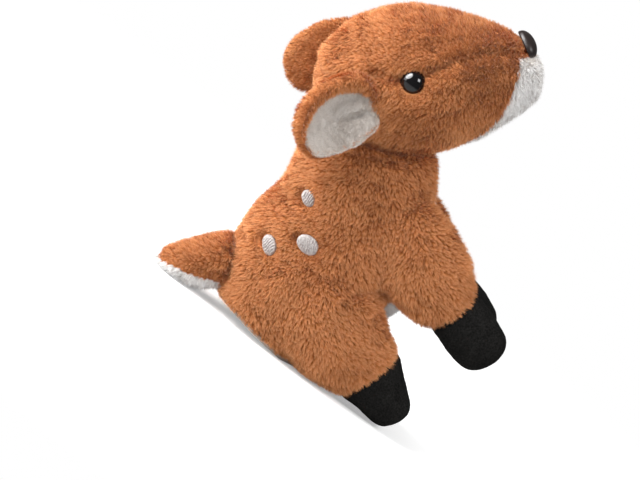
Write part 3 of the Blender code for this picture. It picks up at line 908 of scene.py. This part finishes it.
# The ear is a shallow dish, tucked in at its base, and its lining has one fold
EAR_REACH = 14.1
EAR_HALF_WIDTH = 12.4
EAR_CUP = 3.4
EAR_TUCK = 2.4
EAR_FOLD = 1.2
EAR_STEPS = 96
EAR_TURN = np.linspace(-math.pi, math.pi, EAR_STEPS, endpoint=False)

# Heights over the dish: back and edge of the brown cloth, its bed under the lining, and the lining
BACK_HEIGHT = -1.2
EDGE_HEIGHT = -0.4
BED_HEIGHT = -0.8
LINING_BACK = -0.6
LINING_RIM = 0.1
LINING_FRONT = 0.75

# Outlines in the ear's own plane, towards the tip and down, in mm; both wind round EAR_HUB
EAR_HUB = (-0.4, 2.5)
EAR_LINING = [(11.3, 2.6), (8, -1.2), (4.2, -3.9), (0.4, -5.4), (-3, -5.9), (-7, -4.9),
              (-10.3, -2.9), (-12, 0.3), (-12.2, 3.8), (-11.2, 6.8), (-7.4, 8.5), (-0.8, 10.3),
              (3.8, 10.6), (7.4, 10.4), (10.2, 9.2), (11.6, 6.2)]
EAR_EDGE = [(13.4, -0.4), (11.6, -4.4), (6.9, -8.2), (4.4, -9.8), (0.5, -10.9), (-3.2, -11.3),
            (-7.5, -11.2), (-11.4, -8.8), (-13.4, -4.6), (-13.2, 1), (-12, 6.8), (-7.6, 8.8),
            (-1, 10.6), (4, 11), (7.8, 10.8), (11.2, 9.4), (13, 5.4)]


def polar(outline):
    """A closed outline as its distance from EAR_HUB at each step of EAR_TURN."""
    away = np.array(outline) - np.array(EAR_HUB)
    angle = np.arctan2(away[:, 1], away[:, 0])
    order = np.argsort(angle)
    radius = np.interp(EAR_TURN, angle[order], np.hypot(*away[order].T), period=math.tau)
    for _ in range(4):
        radius = (np.roll(radius, 1) + 2.0 * radius + np.roll(radius, -1)) / 4.0
    return radius


EDGE_RADIUS = polar(EAR_EDGE)
LINING_RADIUS = polar(EAR_LINING)


def dish(a, b):
    """Height of the ear's cupped middle surface, in mm."""
    return -EAR_CUP * (1.0 - (a / EAR_REACH) ** 2 - (b / EAR_HALF_WIDTH) ** 2)


class Ear:
    """One ear's place: its middle, and its axes towards the tip, down and out."""

    def __init__(self, hand, side):
        base, tip = (at(forward, up, side * away) for forward, up, away in EAR_ENDS[hand])
        along = (tip - base).normalized()
        out = Vector((0.0, side, 0.0))
        out = (out - along * out.dot(along)).normalized()
        self.middle = np.array((base + tip) * 0.5)
        self.along = np.array(along)
        self.down = np.array(out.cross(along)) * -side
        self.out = np.array(out)

    def world(self, a, b, rise):
        """World points from the ear's own measures in mm: towards the tip, down and out."""
        return self.middle + (a[:, None] * self.along + b[:, None] * self.down
                              + rise[:, None] * self.out) * MM

    def polar(self, points):
        """Turn and radius round the hub, and height over the dish, of world points."""
        away = (points - self.middle) / MM
        a, b = away @ self.along, away @ self.down
        over = away @ self.out - dish(a, b)
        a, b = a - EAR_HUB[0], b - EAR_HUB[1]
        return np.arctan2(b, a), np.hypot(a, b) + 1e-6, over

    def front(self, mesh, room):
        """Which faces look out from within the lining's outline, widened by some room in mm."""
        centre = np.array([face.center[:] for face in mesh.polygons])
        normal = np.array([face.normal[:] for face in mesh.polygons])
        turn, radius, _ = self.polar(centre)
        limit = np.interp(turn, EAR_TURN, LINING_RADIUS, period=math.tau)
        return (normal @ self.out > 0.0) & (radius < limit + room)

    def brush(self, points):
        """Towards the tip, and on the front out over the edge and in under the roll."""
        turn, radius, over = self.polar(points)
        far = np.interp(turn, EAR_TURN, EDGE_RADIUS, period=math.tau)
        near = np.interp(turn, EAR_TURN, LINING_RADIUS, period=math.tau)
        band = (far - radius) / (far - near)
        swing = 0.8 * (1.0 - smoothstep(0.05, 0.3, band)) - 1.6 * smoothstep(0.4, 0.8, band)
        swing = np.where(over < -0.9, 0.0, swing)
        radial = np.cos(turn)[:, None] * self.along + np.sin(turn)[:, None] * self.down
        return self.along + swing[:, None] * radial


def ear_form(name, ear, rings, look):
    """A closed skin through rings of (radius, height over the dish, fold), from pole to pole."""
    rows = []
    for radius, height, fold in rings:
        a = EAR_HUB[0] + radius * np.cos(EAR_TURN)
        b = EAR_HUB[1] + radius * np.sin(EAR_TURN)
        rise = dish(a, b) + height - EAR_TUCK * smoothstep(10.0, 14.5, -a)
        near = smoothstep(-2.0, 8.0, -a) * (1.0 - smoothstep(7.0, 10.5, -a))
        rise += near * fold * EAR_FOLD * (bell(b + 0.4, 1.8) - bell(b - 2.6, 1.5))
        rows.append(ear.world(a, b, rise))
    return closed_form(name, np.concatenate(rows), ring_faces(len(rings), EAR_STEPS), look)


def ear_back_rings():
    """The brown cloth: its back, its edge and the roll that it makes round the lining."""
    band = EDGE_RADIUS - LINING_RADIUS
    roll = np.minimum(0.55 * band, 2.2) + 0.35
    rings = [(EDGE_RADIUS * k / 8.0, BACK_HEIGHT, 0.0) for k in range(8)]
    rings.append((EDGE_RADIUS - 0.35, BACK_HEIGHT + 0.05, 0.0))
    rings.append((EDGE_RADIUS, EDGE_HEIGHT, 0.0))
    for k in range(1, 9):
        t = k / 8.0
        bulge = roll * math.sin(math.pi * min(t ** 0.85, 1.0)) ** 0.8
        rings.append((EDGE_RADIUS - band * t, bulge + BED_HEIGHT * t ** 3, 0.0))
    for k in range(6, -1, -1):
        rings.append((LINING_RADIUS * k / 7.0, BED_HEIGHT, 0.0))
    return rings


def ear_lining_rings():
    """The lining: its back, its rim and its folded front."""
    inner = LINING_RADIUS + 0.35
    rings = [(inner * k / 16.0, LINING_BACK, 0.0) for k in range(17)]
    rings.append((inner + 0.15, LINING_RIM, 0.4))
    for k in range(16, -1, -1):
        rings.append((inner * k / 16.0, LINING_FRONT, 1.0))
    return rings


def build_ears():
    for side, hand in SIDES:
        ear = Ear(hand, side)
        back = ear_form(f"ear_back_{hand}_cloth", ear, ear_back_rings(), BROWN_SKIN)
        dress_padded(back, f"ear_back_{hand}")
        lining = ear_form(f"ear_lining_{hand}_cloth", ear, ear_lining_rings(), EAR_SKIN)
        dress_padded(lining, f"ear_lining_{hand}")
        outer = cut_out("outer", back.data, ~ear.front(back.data, -0.3))
        pile(f"ear_back_{hand}_pile", outer, BROWN, ear.brush, 80 + int(side), density=28.0,
             length=1.7, lean=0.8)
        inner = cut_out("inner", lining.data, ear.front(lining.data, 1.0))
        pile(f"ear_lining_{hand}_nap", inner, EAR_WHITE, ear.brush, 90 + int(side), density=80.0,
             length=0.55, lean=0.45, pull=0.1, width=0.15, wander=0.5, crisp=0.2)


# Eyes, nose, spots and pocket

def placement(origin, up, toward=Vector((0.0, 0.0, 1.0))):
    """A place with its Z along up, and its X as near to toward as that leaves."""
    z = up.normalized()
    x = (toward - z * toward.dot(z)).normalized()
    y = z.cross(x)
    return Matrix.Translation(origin) @ Matrix((x, y, z)).transposed().to_4x4()


def nose_shape(angle):
    """A rounded triangle, a little narrower than it is high."""
    bulge = 1.0 + 0.07 * math.cos(3.0 * angle)
    return 0.92 * bulge, bulge


def turned_form(name, profile, place, look, sides=48, shape=lambda angle: (1.0, 1.0)):
    """A turned form whose outline is stretched along its X and Y by a shape of the angle."""
    vertices = []
    for radius, height in profile:
        for k in range(sides):
            angle = math.tau * k / sides
            wide, long = shape(angle)
            vertices.append(place @ Vector((radius * math.cos(angle) * wide * MM,
                                            radius * math.sin(angle) * long * MM, height * MM)))
    made = closed_form(name, vertices, ring_faces(len(profile), sides), look)
    made.data.set_sharp_from_angle(angle=math.radians(60.0))
    return made


def dome_profile(radius, height, steps=14, rim=0.25):
    """A shank, a flat back, a small rounded rim and a dome."""
    pairs = [(0.0, -6.0), (0.85, -6.0), (0.9, -5.8), (0.9, -0.6), (radius - rim, -0.6),
             (radius, -0.6 + rim)]
    for k in range(steps + 1):
        angle = 0.5 * math.pi * k / steps
        pairs.append((radius * math.cos(angle), height * math.sin(angle)))
    return pairs


def clip(node, place):
    """The locking washer, pushed well up the shank."""
    ring = [(1.2, -5.4), (3.4, -5.4), (3.4, -4.2), (1.2, -4.2), (1.2, -5.4)]
    dress(turned_form(f"{node}_clip", ring, place, CLIP, sides=32), node)


def build_eyes(head):
    for side, hand in SIDES:
        place = placement(eye_hit(head, side)[0], EYES[hand][1])
        proud = place @ Matrix.Translation((0.0, 0.0, EYE_PROUD * MM))
        profile = dome_profile(EYE_RADIUS, EYE_HEIGHT)
        dress(turned_form(f"eye_{hand}_dome", profile, proud, EYE_GLOSS),
              f"eye_{hand}")
        clip(f"eye_washer_{hand}", place)


def build_nose(head):
    facing = Vector(turned(np.array([[math.cos(NOSE_ANGLE), 0.0, math.sin(NOSE_ANGLE)]]))[0])
    spot, _, _, _ = head.ray_cast(at(*NOSE) + facing * 30.0 * MM, -facing)
    place = placement(spot - facing * NOSE_SINK * MM, facing)
    profile = dome_profile(NOSE_RADIUS, NOSE_HEIGHT)
    dress(turned_form("nose_cap", profile, place, NOSE_SATIN, shape=nose_shape),
          "nose")
    clip("nose_washer", place)


def stitched(share, angle, long, short):
    """A point of a spot's threads, in mm: slanting ridges on a cushion with a ragged edge."""
    ragged = 1.0 + share * (0.03 * math.sin(3.0 * angle + long)
                            + 0.015 * math.sin(8.0 * angle + 3.0 * short))
    x = long * share * ragged * math.cos(angle)
    y = short * share * ragged * math.sin(angle)
    slant = x * 0.82 + y * 0.57
    ridge = math.sin(slant * math.tau / THREAD_PITCH + 1.6 * math.sin(y * 1.7) + x)
    crown = SPOT_CROWN * math.sqrt(max(1.0 - share ** 2.2, 0.0))
    return Vector((x, y, crown + THREAD_RIDGE * ridge * (1.0 - share ** 6)))


def build_spots():
    """Satin stitching: an oval cushion of slanting threads over a plain skirt."""
    rings, sides = 16, 72
    angles = [math.tau * k / sides for k in range(sides)]
    slope = heading(1.0, -1.0).normalized()
    for name, (centre, axes, long, short, _) in SPOTS.items():
        out = (Vector(axes[2]) + slope * SPOT_SLOPE).normalized()
        place = placement(Vector(centre) - out * SPOT_SINK * MM, out, Vector(axes[0]))
        points = [stitched(ring / rings, angle, long, short) for ring in range(rings + 1)
                  for angle in angles]
        skirt = len(points)
        points += [Vector((long * math.cos(angle), short * math.sin(angle), -SPOT_SKIRT))
                   for angle in angles]
        faces = ring_faces(rings + 2, sides)
        faces.append(range(skirt, skirt + sides))
        made = closed_form(f"{name}_stitch", [place @ (p * MM) for p in points], faces, THREAD)
        dress(made, name)


def build_pocket():
    """The lining tube, with soft wrinkles."""
    mesh = NODES["finger_pocket"].data.copy()
    work = bmesh_of(mesh)
    bmesh.ops.remove_doubles(work, verts=work.verts, dist=WELD)
    bmesh.ops.subdivide_edges(work, edges=work.edges, cuts=3, use_grid_fill=True)
    written(work, mesh)
    co = co_of(mesh)
    inside = smoothstep(1.5, 5.0, co[:, 2] / MM)
    wrinkle = 0.28 * waves(co * [1.0, 1.0, 0.35], 4.0, 11)
    radial = unit(co * [1.0, 1.0, 0.0])
    set_co(mesh, co + radial * (wrinkle * inside * MM)[:, None])
    mesh.shade_smooth()
    mesh.set_sharp_from_angle(angle=math.radians(50.0))
    dress(new_object("finger_pocket_lining", mesh, LINING), "finger_pocket")


# Stage

def view_axes():
    """The picture's right, up and back directions, as world directions."""
    right, up = unit(turned(np.array([VIEW_RIGHT, VIEW_UP])))
    up = up - right * float(right @ up)
    up = up / np.linalg.norm(up)
    return Vector(right), Vector(up), Vector(np.cross(right, up))


def pictured(direction):
    """A direction in the picture (right, up, back) as a world direction."""
    return sum((axis * share for axis, share in zip(view_axes(), direction)), Vector()).normalized()


def build_world():
    """White to the camera, a plain soft light, and a dark room with a bright window for shine."""
    world = bpy.data.worlds.new("studio")
    bpy.context.scene.world = world
    nodes = Graph(world)
    nodes.tree.nodes.clear()
    path = nodes.add("ShaderNodeLightPath")
    seen = nodes.add("ShaderNodeMath", operation="MAXIMUM")
    nodes.link(path.outputs["Is Camera Ray"], seen.inputs[0])
    nodes.link(path.outputs["Is Transmission Ray"], seen.inputs[1])
    window = nodes.add("ShaderNodeVectorMath", operation="DOT_PRODUCT")
    window.inputs[1].default_value = pictured(WINDOW)
    nodes.link(nodes.places("Generated"), window.inputs[0])
    shine = nodes.add("ShaderNodeMapRange", From_Min=math.cos(WINDOW_ANGLE * WINDOW_EDGE),
                      From_Max=math.cos(WINDOW_ANGLE), To_Min=ROOM_SHINE, To_Max=WINDOW_SHINE)
    nodes.link(window.outputs["Value"], shine.inputs["Value"])
    ambient = nodes.add("ShaderNodeBackground", Color=WHITE_LIGHT, Strength=AMBIENT)
    mirrored = nodes.add("ShaderNodeBackground", Color=WHITE_LIGHT)
    nodes.link(shine.outputs["Result"], mirrored.inputs["Strength"])
    backdrop = nodes.add("ShaderNodeBackground", Color=WHITE_LIGHT, Strength=1.0)
    room = nodes.choose(path.outputs["Is Glossy Ray"], ambient, mirrored)
    whole = nodes.choose(seen.outputs[0], room, backdrop)
    output = nodes.add("ShaderNodeOutputWorld")
    nodes.link(whole.outputs[0], output.inputs["Surface"])


def build_floor():
    """A pale floor that keeps the shadow, and fades out into the white round it."""
    nodes = Nodes("floor_white")
    nodes.set(Roughness=0.9, Specular_IOR_Level=0.0)
    seen = nodes.add("ShaderNodeLightPath").outputs["Is Camera Ray"]
    nodes.colour(nodes.mix(seen, FLOOR_BOUNCE, FLOOR_SEEN))
    lit = nodes.add("ShaderNodeMath", operation="MULTIPLY")
    lit.inputs[1].default_value = FLOOR_GLOW
    nodes.link(seen, lit.inputs[0])
    glow = nodes.add("ShaderNodeEmission")
    nodes.link(lit.outputs[0], glow.inputs["Strength"])
    both = nodes.add("ShaderNodeAddShader")
    nodes.link(nodes.shader.outputs[0], both.inputs[0])
    nodes.link(glow.outputs[0], both.inputs[1])
    length = nodes.add("ShaderNodeVectorMath", operation="LENGTH")
    nodes.link(nodes.places(), length.inputs[0])
    fade = nodes.add("ShaderNodeMapRange", interpolation_type="SMOOTHSTEP",
                     From_Min=FLOOR_FADE[0], From_Max=FLOOR_FADE[1])
    nodes.link(length.outputs["Value"], fade.inputs["Value"])
    clear = nodes.add("ShaderNodeBsdfTransparent")
    edge = nodes.choose(fade.outputs["Result"], both, clear)
    nodes.link(edge.outputs[0], nodes.tree.nodes["Material Output"].inputs["Surface"])
    corners = [(x * FLOOR_REACH, y * FLOOR_REACH, -FLOOR_GAP)
               for x, y in ((-1, -1), (1, -1), (1, 1), (-1, 1))]
    new_object("floor", mesh_from("floor", corners, [(0, 1, 2, 3)]), nodes.material)


def build_lamp(name, direction, size, watts):
    """A soft square lamp that faces the puppet from a direction in the picture."""
    toward = pictured(direction)
    data = bpy.data.lights.new(name, "AREA")
    data.size = size
    data.energy = watts
    made = new_object(name, data)
    made.matrix_world = placement(at(*LAMP_AIM) + toward * LAMP_DISTANCE, toward)


def build_camera():
    right, up, back = view_axes()
    data = bpy.data.cameras.new("camera")
    data.lens = data.sensor_width * VIEW_DISTANCE / VIEW_WIDTH
    camera = new_object("camera", data)
    place = Matrix((right, up, back)).transposed().to_4x4()
    place.translation = at(*VIEW_CENTRE) + back * VIEW_DISTANCE * MM
    camera.matrix_world = place
    bpy.context.scene.camera = camera


build_body()
head_tree = build_head()
build_tail()
build_ears()
build_eyes(head_tree)
build_nose(head_tree)
build_spots()
build_pocket()
build_world()
build_floor()
for lamp in LAMPS:
    build_lamp(*lamp)
build_camera()

bpy.context.scene.view_settings.view_transform = "Standard"
